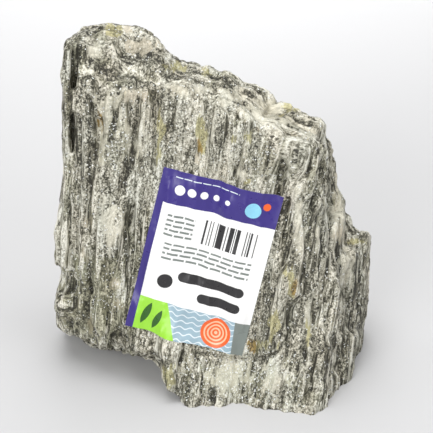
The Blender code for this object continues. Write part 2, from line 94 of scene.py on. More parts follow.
def add_node(
    tree: Tree, kind: str, inputs: dict[Any, Any] | tuple[Any, ...] = (), **settings: Any
) -> bpy.types.bpy_prop_collection:
    """Adds one node to a shader.

    Args:
        tree: The material's nodes.
        kind: Blender's name for the node, without the words that all share.
        inputs: A value or another node's output for each input, in order, or by its name or number.
        settings: The node's own properties.

    Returns:
        The new node's outputs.
    """
    made = tree.nodes.new("ShaderNode" + kind)
    for name, value in settings.items():
        setattr(made, name, value)
    for key, value in inputs.items() if isinstance(inputs, dict) else enumerate(inputs):
        if isinstance(value, bpy.types.NodeSocket):
            tree.links.new(value, made.inputs[key])
        else:
            made.inputs[key].default_value = value
    return made.outputs


def new_material(name: str) -> tuple[bpy.types.Material, Tree, bpy.types.Node]:
    """Starts a material.

    Args:
        name: Its name.

    Returns:
        The material, its nodes and its Principled shader.
    """
    made = bpy.data.materials.new(name)
    made.use_nodes = True
    return made, made.node_tree, made.node_tree.nodes["Principled BSDF"]


def select_only(piece: bpy.types.Object) -> None:
    """Makes one piece the only selected and active object.

    Args:
        piece: The piece.
    """
    bpy.ops.object.select_all(action="DESELECT")
    piece.select_set(True)
    bpy.context.view_layer.objects.active = piece


def apply_modifier(piece: bpy.types.Object, kind: str, **settings: Any) -> None:
    """Shapes a piece with one modifier and keeps the result.

    Args:
        piece: The piece to shape.
        kind: The modifier's type.
        settings: The modifier's properties.
    """
    select_only(piece)
    bpy.ops.object.modifier_add(type=kind)
    modifier = piece.modifiers[-1]
    for name, value in settings.items():
        setattr(modifier, name, value)
    bpy.ops.object.modifier_apply(modifier=modifier.name)


def read_vectors(mesh: bpy.types.Mesh, what: str) -> Array:
    """The places or normals of a mesh's vertices.

    Args:
        mesh: The mesh.
        what: "co" or "normal".

    Returns:
        One row for each vertex.
    """
    values = np.empty(len(mesh.vertices) * 3)
    mesh.vertices.foreach_get(what, values)
    return values.reshape(-1, 3)


def store(mesh: bpy.types.Mesh, name: str, values: Array) -> None:
    """Keeps a number or a vector for each vertex, for materials to read.

    Args:
        mesh: The mesh that keeps it.
        name: The name that it is kept under.
        values: A number or a row of three for each vertex.
    """
    vector = values.ndim == 2
    kept = mesh.attributes.new(name, "FLOAT_VECTOR" if vector else "FLOAT", "POINT")
    kept.data.foreach_set("vector" if vector else "value", values.astype(np.float32).ravel())


def smooth_noise(places: Array, sizes: Triple, seed: float) -> Array:
    """Smooth noise whose bumps are about the given size along each axis.

    Args:
        places: Where to read it, one row each.
        sizes: The size of a bump along each axis.
        seed: Moves the pattern, so that two patterns differ.

    Returns:
        A value for each place, from about -1 to 1.
    """
    shifted = places / np.array(sizes) + seed * SEED_WAY
    return np.fromiter(map(noise.noise, shifted.tolist()), float, len(places))


def furrowed(values: Array, narrowness: float = 2.2) -> Array:
    """Turns smooth noise into rounded backs with sharp furrows between them, from -1 in a furrow to 0."""
    return -((1.0 - np.minimum(1.0, narrowness * np.abs(values))) ** 2)


def eased(values: Array, low: float, high: float) -> Array:
    """Rises smoothly from 0 at one value to 1 at another."""
    share = np.clip((values - low) / (high - low), 0.0, 1.0)
    return share * share * (3.0 - 2.0 * share)


def bell(distance: Array) -> Array:
    """A smooth falloff from 1 in the middle to 0 at distance 1."""
    return np.clip(1.0 - distance * distance, 0.0, 1.0) ** 2


@dataclass(frozen=True)
class Wave:
    """A gentle wave of the layers: its height, its size, and where in the noise it is read."""

    height: float
    size: float
    seed: float
    stretch: float = 2.5
    seed_step: float = 10.0

    def shift(self, places: Array, axis: int) -> Array:
        """How far the wave shifts places along one axis of the fabric."""
        sizes = (self.size, self.size, self.stretch * self.size)
        return self.height * smooth_noise(places, sizes, self.seed + self.seed_step * axis)


@dataclass(frozen=True)
class Fabric:
    """The stone's own directions: across and along its stretched grains, and through its layers.

    The broad face is one of the layers. It leans back and its left end stands back. The grains run up the
    face and lean a little to the right. They fan out at both ends, and bend over at the upper right.
    """

    face_lean: float = 0.2126
    face_yaw: float = 0.14
    streak_lean: float = 5.0
    left_end: Span = (30.0, 60.0)
    left_fan: float = 0.045
    right_end: Span = (16.0, 44.0)
    right_fan: float = 0.04
    bend: float = 0.006
    bend_from: float = 72.0
    bend_end: float = 104.0
    waves: tuple[Wave, ...] = (Wave(1.6, 26.0, 1.3), Wave(0.35, 7.0, 6.1))

    @property
    def normal(self) -> Vector:
        """The way the broad face looks."""
        return Vector((-self.face_yaw, -1.0, self.face_lean)).normalized()

    @property
    def up(self) -> Vector:
        """Straight up the broad face."""
        return (Vector((0, 0, 1)) - self.normal * self.normal.z).normalized()

    @property
    def right(self) -> Vector:
        """Level along the broad face, to the right."""
        return self.up.cross(self.normal)

    @property
    def streak(self) -> Vector:
        """The way the stretched grains run."""
        lean = math.radians(self.streak_lean)
        return (self.up * math.cos(lean) + self.right * math.sin(lean)).normalized()

    @property
    def across(self) -> Vector:
        """Across the grains, along the layers."""
        return self.streak.cross(self.normal)

    def coordinates(self, places: Array) -> Array:
        """Where places lie in the fabric.

        Args:
            places: Places in the stone, one row each.

        Returns:
            Across the grains, along them and through the layers, one row each.
        """
        held = places @ np.array((self.across, self.streak, self.normal)).T
        at_left = eased(-places[:, 0], *self.left_end)
        at_right = eased(places[:, 0], *self.right_end)
        above = np.clip(places[:, 2], self.bend_from, self.bend_end) - self.bend_from
        fan = self.left_fan * at_left - self.right_fan * at_right
        held[:, 0] += fan * held[:, 1] - self.bend * above * above * at_right
        for wave in self.waves:
            for axis in (0, 2):
                held[:, axis] += wave.shift(places, axis)
        return held


@dataclass(frozen=True)
class Sight:
    """How places on the seen side are given: across and up, as seen from the front and from above."""

    rise: float = 30.0
    foot_y: float = -40.186
    middle: float = -0.564

    @property
    def direction(self) -> Vector:
        """From the stone towards the eye."""
        rise = math.radians(self.rise)
        return Vector((0, -math.cos(rise), math.sin(rise)))

    def across_and_up(self, places: Array) -> tuple[Array, Array]:
        """Where places lie as seen from the front.

        Args:
            places: Places on the stone, one row each.

        Returns:
            How far across from the middle they are, and how far up from the front foot.
        """
        rise = math.radians(self.rise)
        up = (places[:, 1] - self.foot_y) * math.sin(rise) + places[:, 2] * math.cos(rise)
        return places[:, 0] - self.middle, up


FABRIC = Fabric()
SIGHT = Sight()


class Tone(Enum):
    """What a patch of the stone is made of or stained with, from the lowest coat to the highest; the dark
    mica tone also paints shade in places.
    """

    SILVER = (0.56, 0.16, "#f6f7f3")
    QUARTZ = (0.88, 0.62, "#fefdfa")
    FELDSPAR = (0.79, 0.58, "#faf4ee")
    SULPHUR = (0.68, 0.45, "#f3efca")
    IRON = (0.50, 0.35, "#e2c68e")
    # Dark mica; on the peak's left side its patches are also painted shade.
    MICA_AND_SHADE = (-0.10, 0.23, "#f2f3ec")
    BROWN = (-0.20, 0.22, "#eff0e4")

    def __init__(self, lightness: float, evenness: float, tint: str) -> None:
        """Names the values of a tone.

        Args:
            lightness: What the stone's lightness is drawn towards; below 0 it darkens and keeps the grain.
            evenness: How much of the stone's own pattern it covers.
            tint: The colour that the stone's own colour is multiplied by.
        """
        self.lightness = lightness
        self.evenness = evenness
        self.tint = tint

    @property
    def attribute(self) -> str:
        """The name under which the mesh keeps how much of it there is."""
        return "tone_" + self.name.lower()


@dataclass(frozen=True)
class Patch:
    """A patch of a tone on the seen side: where it is, its half sizes and how strong it is."""

    across: float
    up: float
    half_width: float
    half_length: float
    strength: float = 1.0
    fade: float = 1.25

    def amount_at(self, across: Array, up: Array, wander: list[Array]) -> Array:
        """How much of the tone the patch puts at places.

        Args:
            across: How far across they are, as seen from the front.
            up: How far up they are.
            wander: A shift across and one up, which make the patch's edge uneven.

        Returns:
            An amount for each place.
        """
        x = (across - self.across) / self.half_width + wander[0]
        y = (up - self.up) / self.half_length + wander[1]
        return self.strength * bell(np.hypot(x, y) / self.fade)


def patches(*rows: tuple[float, ...]) -> tuple[Patch, ...]:
    """One patch for each row of its values."""
    return tuple(Patch(*row) for row in rows)


# Each row is a patch's place across and up, its half width and length, and its strength where it isn't 1.
PATCHES = {
    Tone.SILVER: patches(
        (23.0, 104.0, 12.0, 10.0, 0.8), (-61.7, 117.9, 4.0, 7.0, 0.7), (-42.0, 112.0, 9.0, 11.0),
        (-57.1, 57.5, 5.0, 8.0), (-49.4, 44.2, 3.2, 5.0), (12.0, 12.0, 26.0, 16.0),
        (-12.0, 14.0, 2.4, 9.0, 0.8),
    ),
    Tone.QUARTZ: patches(
        (-49.8, 150.4, 3.0, 6.0), (6.2, 132.5, 9.0, 4.8, 0.9), (21.1, 126.3, 11.0, 5.6, 0.9),
        (31.5, 121.5, 8.0, 4.4, 0.8), (41.0, 118.0, 5.0, 3.4, 0.7), (-14.0, 135.5, 9.0, 4.0, 0.7),
        (-2.9, 136.5, 4.0, 3.0, 0.6), (-44.1, 129.1, 5.4, 6.0), (-45.0, 121.8, 4.5, 6.5, 0.9),
        (13.0, 100.0, 2.6, 2.6), (-63.6, 142.0, 1.6, 14.0, 0.4), (-37.0, 121.0, 3.4, 13.0, 0.65),
        (-30.5, 114.0, 4.2, 11.0, 0.6), (-47.0, 111.0, 2.8, 10.0, 0.65), (-43.6, 79.0, 5.4, 14.0, 0.8),
        (-64.9, 53.5, 1.5, 6.5, 0.9), (-64.9, 35.6, 2.2, 3.6, 0.8), (50.6, 105.8, 1.4, 8.0, 0.8),
        (53.6, 86.0, 3.6, 15.0, 1.2), (48.2, 86.0, 2.6, 7.0, 0.6), (57.4, 60.0, 3.4, 13.0, 0.7),
        (36.6, 77.1, 3.0, 17.0, 1.1), (44.6, 78.0, 2.0, 12.0, 0.6), (40.6, 34.0, 2.0, 15.0, 0.6),
        (8.0, 13.6, 9.0, 10.5, 1.3), (27.3, 11.6, 5.2, 8.8, 1.3),
    ),
    Tone.FELDSPAR: patches(
        (-30.5, 153.4, 8.5, 3.8), (-36.5, 161.9, 3.0, 3.0, 0.7), (-33.0, 133.0, 8.0, 3.6, 0.6),
        (-6.3, 106.2, 1.8, 3.2), (-54.3, 79.2, 2.6, 4.4, 0.6), (-55.4, 65.8, 2.4, 4.6, 0.6),
        (-41.1, 51.0, 3.2, 6.2, 0.9), (-53.0, 37.0, 1.5, 6.5), (-39.4, 44.0, 3.0, 3.0, 0.8),
        (54.5, 74.1, 3.2, 5.4, 0.9),
    ),
    Tone.SULPHUR: patches(
        (-41.8, 161.0, 3.6, 3.8), (-15.9, 145.7, 4.6, 3.4, 0.9), (-2.7, 143.2, 3.2, 2.6, 0.8),
        (32.4, 128.3, 5.5, 3.6, 0.9), (14.3, 114.7, 2.2, 5.0, 0.7), (8.6, 113.8, 2.2, 2.2, 0.7),
        (-22.2, 116.8, 2.5, 14.0, 0.9), (-4.8, 117.0, 2.5, 9.0), (14.7, 96.9, 2.4, 2.4, 0.9),
        (33.0, 56.0, 3.4, 8.0, 0.8), (25.6, 34.6, 3.0, 9.6), (20.0, 27.0, 4.0, 3.6, 0.7),
        (61.5, 71.2, 5.5, 2.0, 0.7), (-18.4, 13.4, 3.4, 8.5, 0.8), (40.6, 31.3, 2.0, 6.0, 0.8),
    ),
    Tone.IRON: patches(
        (17.9, 118.3, 2.4, 2.6, 0.6), (-47.7, 123.4, 1.4, 6.5, 0.6), (-5.4, 111.7, 1.4, 3.0),
        (34.9, 53.1, 2.0, 5.0, 0.8), (17.0, 26.7, 2.6, 3.6, 0.8),
    ),
    Tone.MICA_AND_SHADE: patches(
        # The patches from -59 to -45 across and 146 to 159 up lie on the peak's left side, a face that turns
        # away from the light: they paint shade there, over that face's own dark mica.
        (-48.4, 158.2, 4.0, 4.6), (-56.2, 151.0, 3.2, 10.0, 0.75), (-58.8, 148.0, 3.6, 14.0, 0.8),
        (-60.4, 131.6, 2.4, 9.0, 0.95), (-45.7, 146.8, 4.0, 2.6, 0.9), (-36.5, 139.3, 15.0, 4.0, 0.65),
        (-25.9, 131.3, 1.8, 4.5), (-26.6, 141.5, 4.0, 4.0, 0.6), (-41.2, 116.0, 1.6, 8.0, 0.5),
        (4.1, 141.2, 9.0, 6.0, 0.65), (-7.9, 122.8, 2.6, 6.0, 0.5), (10.8, 122.0, 3.0, 5.0, 0.5),
        (-62.0, 94.0, 1.8, 18.0, 0.7), (-32.0, 58.4, 6.0, 28.0, 0.62), (-52.4, 84.0, 1.2, 14.0, 0.8),
        (-48.4, 62.0, 1.3, 12.0, 0.9), (-35.2, 73.5, 1.6, 9.5, 0.7), (-61.0, 98.0, 4.0, 20.0, 0.6),
        (-45.4, 57.0, 1.4, 13.0, 0.8), (-46.0, 42.3, 2.6, 7.5, 0.9), (-38.4, 39.0, 2.2, 5.0, 0.8),
        (67.0, 64.0, 2.5, 8.0, 0.5), (30.9, 75.0, 2.2, 16.0, 0.55), (40.6, 74.0, 1.5, 16.0, 0.9),
        (43.4, 99.0, 7.5, 20.0, 0.62), (64.0, 51.0, 4.4, 26.0, 0.4), (32.4, 33.8, 1.8, 7.6, 0.6),
        (19.4, 12.0, 3.4, 12.0, 0.6), (-20.6, 14.0, 1.2, 9.0, 0.9), (34.6, 12.0, 4.6, 14.0, 0.45),
        (41.2, 13.0, 2.0, 14.0, 0.7), (42.5, 4.5, 7.0, 5.0, 0.7),
    ),
    Tone.BROWN: patches(
        (-51.0, 45.0, 21.0, 26.0), (-56.0, 41.0, 3.6, 9.0), (-34.0, 40.0, 7.0, 15.0, 0.8),
        (-4.6, 12.6, 5.0, 10.0, 0.6), (-11.0, 12.0, 1.6, 11.0, 0.8),
    ),
}


@dataclass(frozen=True)
class Cleft:
    """A narrow furrow between two places on the seen side."""

    across: float
    up: float
    end_across: float
    end_up: float
    half_width: float
    depth: float

    def depth_at(self, across: Array, up: Array) -> Array:
        """How deep the furrow is at places.

        Args:
            across: How far across they are, as seen from the front.
            up: How far up they are.

        Returns:
            A depth for each place.
        """
        run_across, run_up = self.end_across - self.across, self.end_up - self.up
        length = run_across * run_across + run_up * run_up
        share = ((across - self.across) * run_across + (up - self.up) * run_up) / length
        share = np.clip(share, 0.0, 1.0)
        away = np.hypot(across - self.across - share * run_across, up - self.up - share * run_up)
        return self.depth * bell(away / self.half_width)


# Each row is a cleft's two ends, each across and up, its half width and its depth.
CLEFTS = tuple(
    Cleft(*row)
    for row in (
        # The left edge.
        (-58.0, 103.0, -57.2, 82.0, 1.4, 1.8), (-61.4, 88.0, -61.0, 57.0, 1.3, 1.3),
        # The broad face.
        (-53.7, 68.0, -52.9, 50.0, 1.4, 1.8), (-55.0, 45.0, -54.9, 33.0, 1.5, 1.7),
        (-59.6, 50.0, -59.2, 31.0, 1.2, 1.2), (-51.4, 33.5, -51.0, 26.0, 1.4, 1.4),
        (-46.0, 48.0, -45.6, 35.0, 1.5, 1.7), (-47.6, 32.0, -47.4, 24.0, 1.1, 1.2),
        (-43.9, 31.5, -43.6, 24.0, 1.1, 1.2), (-40.6, 31.0, -40.3, 23.0, 1.1, 1.2),
        (-37.2, 31.0, -36.8, 22.0, 1.2, 1.3), (-34.5, 86.0, -36.7, 46.0, 1.5, 1.2),
        (-52.0, 133.0, -48.0, 120.0, 1.3, 1.6), (-48.0, 120.0, -49.1, 108.0, 1.2, 1.2),
        (-25.3, 135.0, -24.4, 124.0, 1.4, 1.5), (-4.5, 124.0, -5.3, 108.0, 1.1, 1.0),
        (14.2, 116.0, 8.3, 99.0, 1.2, 1.1), (29.1, 106.0, 27.4, 90.0, 1.3, 1.5),
        (31.2, 87.5, 29.5, 62.0, 1.2, 0.9),
        # The right flank.
        (41.8, 110.0, 37.6, 88.0, 1.1, 1.4), (46.1, 114.0, 45.2, 98.0, 1.1, 1.5),
        (45.2, 98.0, 41.8, 86.0, 1.1, 1.5), (38.9, 84.0, 38.9, 62.0, 1.2, 1.6),
        (38.9, 62.0, 40.6, 52.0, 1.2, 1.6), (50.8, 86.0, 49.9, 68.0, 1.1, 1.5),
        (45.2, 82.0, 46.9, 66.0, 1.1, 1.3), (43.1, 49.0, 41.8, 8.0, 1.2, 1.6),
        (48.2, 47.0, 48.2, 27.0, 1.1, 1.4), (58.0, 59.0, 58.4, 34.0, 1.4, 2.0),
        (54.2, 30.0, 55.0, 16.0, 1.2, 1.5), (51.2, 15.0, 51.2, -6.0, 1.1, 1.4),
        # The arc along which the outermost layer of the broad face ends.
        (-6.0, 23.6, 13.2, 21.0, 1.1, 1.5), (13.2, 21.0, 20.2, 21.4, 1.1, 1.6),
        (20.2, 21.4, 27.4, 24.4, 1.1, 1.6), (27.4, 24.4, 32.2, 31.0, 1.1, 1.4),
        # The foot.
        (39.3, 26.0, 40.6, 3.0, 1.3, 1.3), (1.5, 20.0, -0.4, -6.0, 1.4, 1.2),
        (14.2, 20.5, 13.6, -6.0, 1.4, 1.2), (-15.0, 20.5, -13.2, -4.0, 1.4, 1.3),
        # The top.
        (28.2, 132.0, 22.5, 126.0, 1.2, 1.4), (4.0, 129.0, 11.5, 123.0, 1.3, 1.2),
    )
)


@dataclass(frozen=True)
class Furrows:
    """One set of furrows: their depth, and the size of the backs between them in the fabric."""

    depth: float
    sizes: Triple
    seed: float
    narrowness: float = 2.2

    def heights(self, held: Array) -> Array:
        """How low the stone lies at places in the fabric, from minus the depth to 0."""
        return self.depth * furrowed(smooth_noise(held, self.sizes, self.seed), self.narrowness)


@dataclass(frozen=True)
class Relief:
    """The unevenness of the broken stone that is finer than its solid's."""

    fullness: float = 0.9
    crumbs: tuple[Span, ...] = ((0.55, 6.5), (0.32, 3.2), (0.22, 1.7))
    crumb_stretch: float = 2.4
    crumb_seed: float = 51.0
    ribs: tuple[Furrows, ...] = (
        Furrows(1.75, (5.6, 60.0, 14.0), 31.0),
        Furrows(1.00, (2.7, 30.0, 7.0), 37.0),
    )
    rib_loss_across: float = 0.2
    rib_loss_over: float = 0.8
    layers: tuple[Furrows, ...] = (
        Furrows(1.15, (34.0, 46.0, 3.1), 41.0),
        Furrows(0.55, (15.0, 22.0, 1.6), 43.0),
    )
    layers_show: Span = (0.1, 0.6)
    hackles: Furrows = Furrows(0.9, (5.0, 5.0, 4.0), 47.0, 1.6)
    hackles_show: Span = (0.3, 0.8)
    flakes: float = 5.0
    flake_step: float = 0.45
    flake_edge: Span = (0.35, 0.65)
    flake_sizes: Triple = (9.0, 30.0, 26.0)
    flake_seed: float = 61.0
    crack_across: float = -59.6
    crack_half_width: float = 5.0
    crack_foot: Span = (86.0, 92.0)
    crack_calm: float = 0.25
    seen: Span = (-0.1, 0.3)

    def heights(self, places: Array, normals: Array, held: Array) -> Array:
        """How far the surface stands out.

        Args:
            places: Places on the stone.
            normals: The way the surface looks there.
            held: The same places in the fabric.

        Returns:
            A height for each place.
        """
        along_layer = np.abs(normals @ np.array(FABRIC.normal))
        cut_across = 1.0 - along_layer
        cut_over = np.abs(normals @ np.array(FABRIC.streak))
        heights = np.full(len(places), self.fullness)
        for number, (height, size) in enumerate(self.crumbs):
            sizes = (size, self.crumb_stretch * size, size)
            heights += height * smooth_noise(held, sizes, self.crumb_seed + number)
        rib_share = (1.0 - self.rib_loss_across * cut_across) * (1.0 - self.rib_loss_over * cut_over)
        for furrows in self.ribs:
            heights += furrows.heights(held) * rib_share
        for furrows in self.layers:
            heights += furrows.heights(held) * eased(cut_across, *self.layers_show)
        heights += self.hackles.heights(held) * eased(cut_over, *self.hackles_show)
        steps = self.flakes * smooth_noise(held, self.flake_sizes, self.flake_seed)
        whole = np.floor(steps)
        heights += self.flake_step * (whole + eased(steps - whole, *self.flake_edge)) * along_layer
        across, up = SIGHT.across_and_up(places)
        in_crack = eased(up, *self.crack_foot) * bell((across - self.crack_across) / self.crack_half_width)
        heights *= 1.0 - self.crack_calm * in_crack
        facing = eased(normals @ np.array(SIGHT.direction), *self.seen)
        return heights - facing * np.max([cleft.depth_at(across, up) for cleft in CLEFTS], axis=0)


@dataclass(frozen=True)
class Minerals:
    """Where each tone lies: in patches on the seen side, and scattered, more so on the other sides."""

    wander_shares: Span = (0.9, 0.7)
    wander_sizes: tuple[Triple, ...] = ((2.2, 6.5, 2.2), (3.0, 10.0, 3.0))
    wander_seeds: Span = (71.0, 73.0)
    scatter_share: float = 0.4
    scatter_loss_seen: float = 0.6
    scatter_sizes: Triple = (7.0, 24.0, 5.0)
    scatter_edge: Span = (0.34, 0.6)
    scatter_seed: float = 81.0
    scatter_seed_step: float = 3.0

    def amounts(self, places: Array, held: Array, facing: Array) -> dict[Tone, Array]:
        """How much of each tone there is.

        Args:
            places: Places on the stone.
            held: The same places in the fabric.
            facing: How much each place faces the eye, from 0 to 1.

        Returns:
            An amount for each place, by tone.
        """
        across, up = SIGHT.across_and_up(places)
        wander = [
            share * smooth_noise(held, sizes, seed)
            for share, sizes, seed in zip(self.wander_shares, self.wander_sizes, self.wander_seeds)
        ]
        amounts = {}
        for number, tone in enumerate(Tone):
            seen = np.max([patch.amount_at(across, up, wander) for patch in PATCHES[tone]], axis=0)
            seed = self.scatter_seed + self.scatter_seed_step * number
            scattered = eased(smooth_noise(held, self.scatter_sizes, seed), *self.scatter_edge)
            scattered *= self.scatter_share * (1.0 - self.scatter_loss_seen * facing)
            amounts[tone] = seen * facing + scattered
        return amounts


@dataclass
class Stone:
    """The block: a finer copy of its solid, with its relief and its minerals.

    The base's faces are sunk first, and the net is then cut off flat a little above the ground and set
    down, so that the stone stands on one flat break.
    """

    node: str = "rock"
    name: str = "schist_block"
    slot: str = "schist"
    net: float = 0.95
    quick_net: float = 1.7
    smoothing: int = 6
    smoothing_share: float = 0.5
    join: float = 0.001
    relief: Relief = field(default_factory=Relief)
    minerals: Minerals = field(default_factory=Minerals)
    base_looks_down: Span = (0.2, 0.6)
    base_top: Span = (1.0, 3.0)
    base_sink: float = 2.0
    base_cut: float = 0.3
    low_at_ground: float = -0.2
    low_per_rise: float = 0.8
    end_on: Span = (0.25, 0.7)
    edge_on: Span = (0.3, 0.7)
    seen: Span = (0.0, 0.3)
    hollow_rounds: int = 6
    hollow_share: float = 0.6

    def build(self, finish: SchistFinish) -> bpy.types.Object:
        """Makes the stone.

        Args:
            finish: What it is made of.

        Returns:
            The finished piece.
        """
        piece = self.copy_of_solid()
        size = self.net
        apply_modifier(piece, "REMESH", mode="VOXEL", voxel_size=size * MM)
        apply_modifier(piece, "SMOOTH", factor=self.smoothing_share, iterations=self.smoothing)
        self.carve(piece)
        self.stand_on_base(piece)
        self.store_pattern(piece.data)
        select_only(piece)
        bpy.ops.object.shade_smooth()
        piece.data.materials.clear()
        piece.data.materials.append(finish.build())
        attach(piece, BODY)
        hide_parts(self.node)
        return piece

    def copy_of_solid(self) -> bpy.types.Object:
        """Copies the solid's mesh and joins its loose triangles.

        Returns:
            The copy, a piece of its own.
        """
        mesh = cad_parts[self.node].data.copy()
        piece = bpy.data.objects.new(self.name, mesh)
        bpy.context.scene.collection.objects.link(piece)
        select_only(piece)
        bpy.ops.object.mode_set(mode="EDIT")
        bpy.ops.mesh.select_all(action="SELECT")
        bpy.ops.mesh.remove_doubles(threshold=self.join * MM)
        bpy.ops.object.mode_set(mode="OBJECT")
        return piece

    def carve(self, piece: bpy.types.Object) -> None:
        """Works the relief into the net, inside the solid's box, and sinks the base below its cut.

        Args:
            piece: The smoothed net.
        """
        low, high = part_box(self.node)
        places = read_vectors(piece.data, "co") / MM
        normals = read_vectors(piece.data, "normal")
        heights = self.relief.heights(places, normals, FABRIC.coordinates(places))
        heights = np.maximum(heights, self.low_at_ground - self.low_per_rise * places[:, 2])
        looks_down = eased(-normals[:, 2], *self.base_looks_down)
        base = looks_down * (1.0 - eased(places[:, 2], *self.base_top))
        carved = places + normals * (heights * (1.0 - base))[:, None]
        carved[:, 2] -= self.base_sink * base
        lowest = np.array(low) / MM - (0, 0, self.base_sink)
        highest = np.array(high) / MM + (0, 0, self.base_cut)
        carved = np.clip(carved, lowest, highest) * MM
        piece.data.vertices.foreach_set("co", carved.ravel())
        piece.data.update()

    def stand_on_base(self, piece: bpy.types.Object) -> None:
        """Cuts the net off flat just above the ground and sets it down.

        Args:
            piece: The carved net.
        """
        select_only(piece)
        bpy.ops.object.mode_set(mode="EDIT")
        bpy.ops.mesh.select_all(action="SELECT")
        bpy.ops.mesh.bisect(
            plane_co=(0, 0, self.base_cut * MM),
            plane_no=(0, 0, 1),
            use_fill=True,
            clear_inner=True,
            threshold=self.join * MM,
        )
        bpy.ops.mesh.select_all(action="SELECT")
        bpy.ops.mesh.delete_loose(use_verts=True, use_edges=True, use_faces=False)
        bpy.ops.mesh.select_all(action="SELECT")
        bpy.ops.transform.translate(value=(0, 0, -self.base_cut * MM))
        bpy.ops.object.mode_set(mode="OBJECT")

    def store_pattern(self, mesh: bpy.types.Mesh) -> None:
        """Keeps what the finish reads: fabric coordinates, hollows (darkened there as painted shade and dark
        mica), broken ends and edges, and tones.

        Args:
            mesh: The stone's mesh.
        """
        places = read_vectors(mesh, "co") / MM
        normals = read_vectors(mesh, "normal")
        held = FABRIC.coordinates(places)
        store(mesh, "fabric", held)
        store(mesh, "hollow_shade_and_mica", self.hollows(mesh, places, normals))
        store(mesh, "end_on", eased(np.abs(normals @ np.array(FABRIC.streak)), *self.end_on))
        store(mesh, "edge_on", eased(np.abs(normals @ np.array(FABRIC.across)), *self.edge_on))
        facing = eased(normals @ np.array(SIGHT.direction), *self.seen)
        for tone, amounts in self.minerals.amounts(places, held, facing).items():
            store(mesh, tone.attribute, amounts)

    def hollows(self, mesh: bpy.types.Mesh, places: Array, normals: Array) -> Array:
        """How far the surface lies below the evened-out surface around it, for the painted shade in hollows.

        Args:
            mesh: The stone's mesh.
            places: Its vertices.
            normals: The way the surface looks at each.

        Returns:
            A depth for each vertex, below 0 where it stands out.
        """
        ends = np.empty(len(mesh.edges) * 2, int)
        mesh.edges.foreach_get("vertices", ends)
        first, second = ends.reshape(-1, 2).T
        count = np.bincount(ends, minlength=len(places))
        even = places.copy()
        for _ in range(self.hollow_rounds):
            for axis in range(3):
                total = np.bincount(first, even[second, axis], len(places))
                total += np.bincount(second, even[first, axis], len(places))
                even[:, axis] += self.hollow_share * (total / count - even[:, axis])
        return ((even - places) * normals).sum(axis=1)


@dataclass(frozen=True)
class Pattern:
    """A pattern in the stone's fabric: its bump sizes, how much it changes the lightness, and its edges.

    A small edge makes alternating light and dark bands; an edge of 1 keeps the noise as smooth as it is.
    """

    sizes: Triple
    share: float = 0.0
    detail: float = 2.0
    distortion: float = 0.0
    edge: float = 1.0
    roughness: float = 0.55

    def noise(self, tree: Tree, fabric: Any) -> Any:
        """Reads the pattern at a place.

        Args:
            tree: The material's nodes.
            fabric: The place in the fabric.

        Returns:
            The pattern's value, from -0.5 to 0.5.
        """
        place = add_node(tree, "VectorMath", (fabric, self.sizes), operation="DIVIDE")[0]
        inputs = {
            "Vector": place,
            "Scale": 1.0,
            "Detail": self.detail,
            "Roughness": self.roughness,
            "Distortion": self.distortion,
        }
        value = add_node(tree, "TexNoise", inputs)["Fac"]
        ends = {
            "Value": value,
            "From Min": 0.5 - self.edge / 2,
            "From Max": 0.5 + self.edge / 2,
            "To Min": -0.5,
            "To Max": 0.5,
        }
        kind = "LINEAR" if self.edge == 1.0 else "SMOOTHSTEP"
        return add_node(tree, "MapRange", ends, interpolation_type=kind)[0]


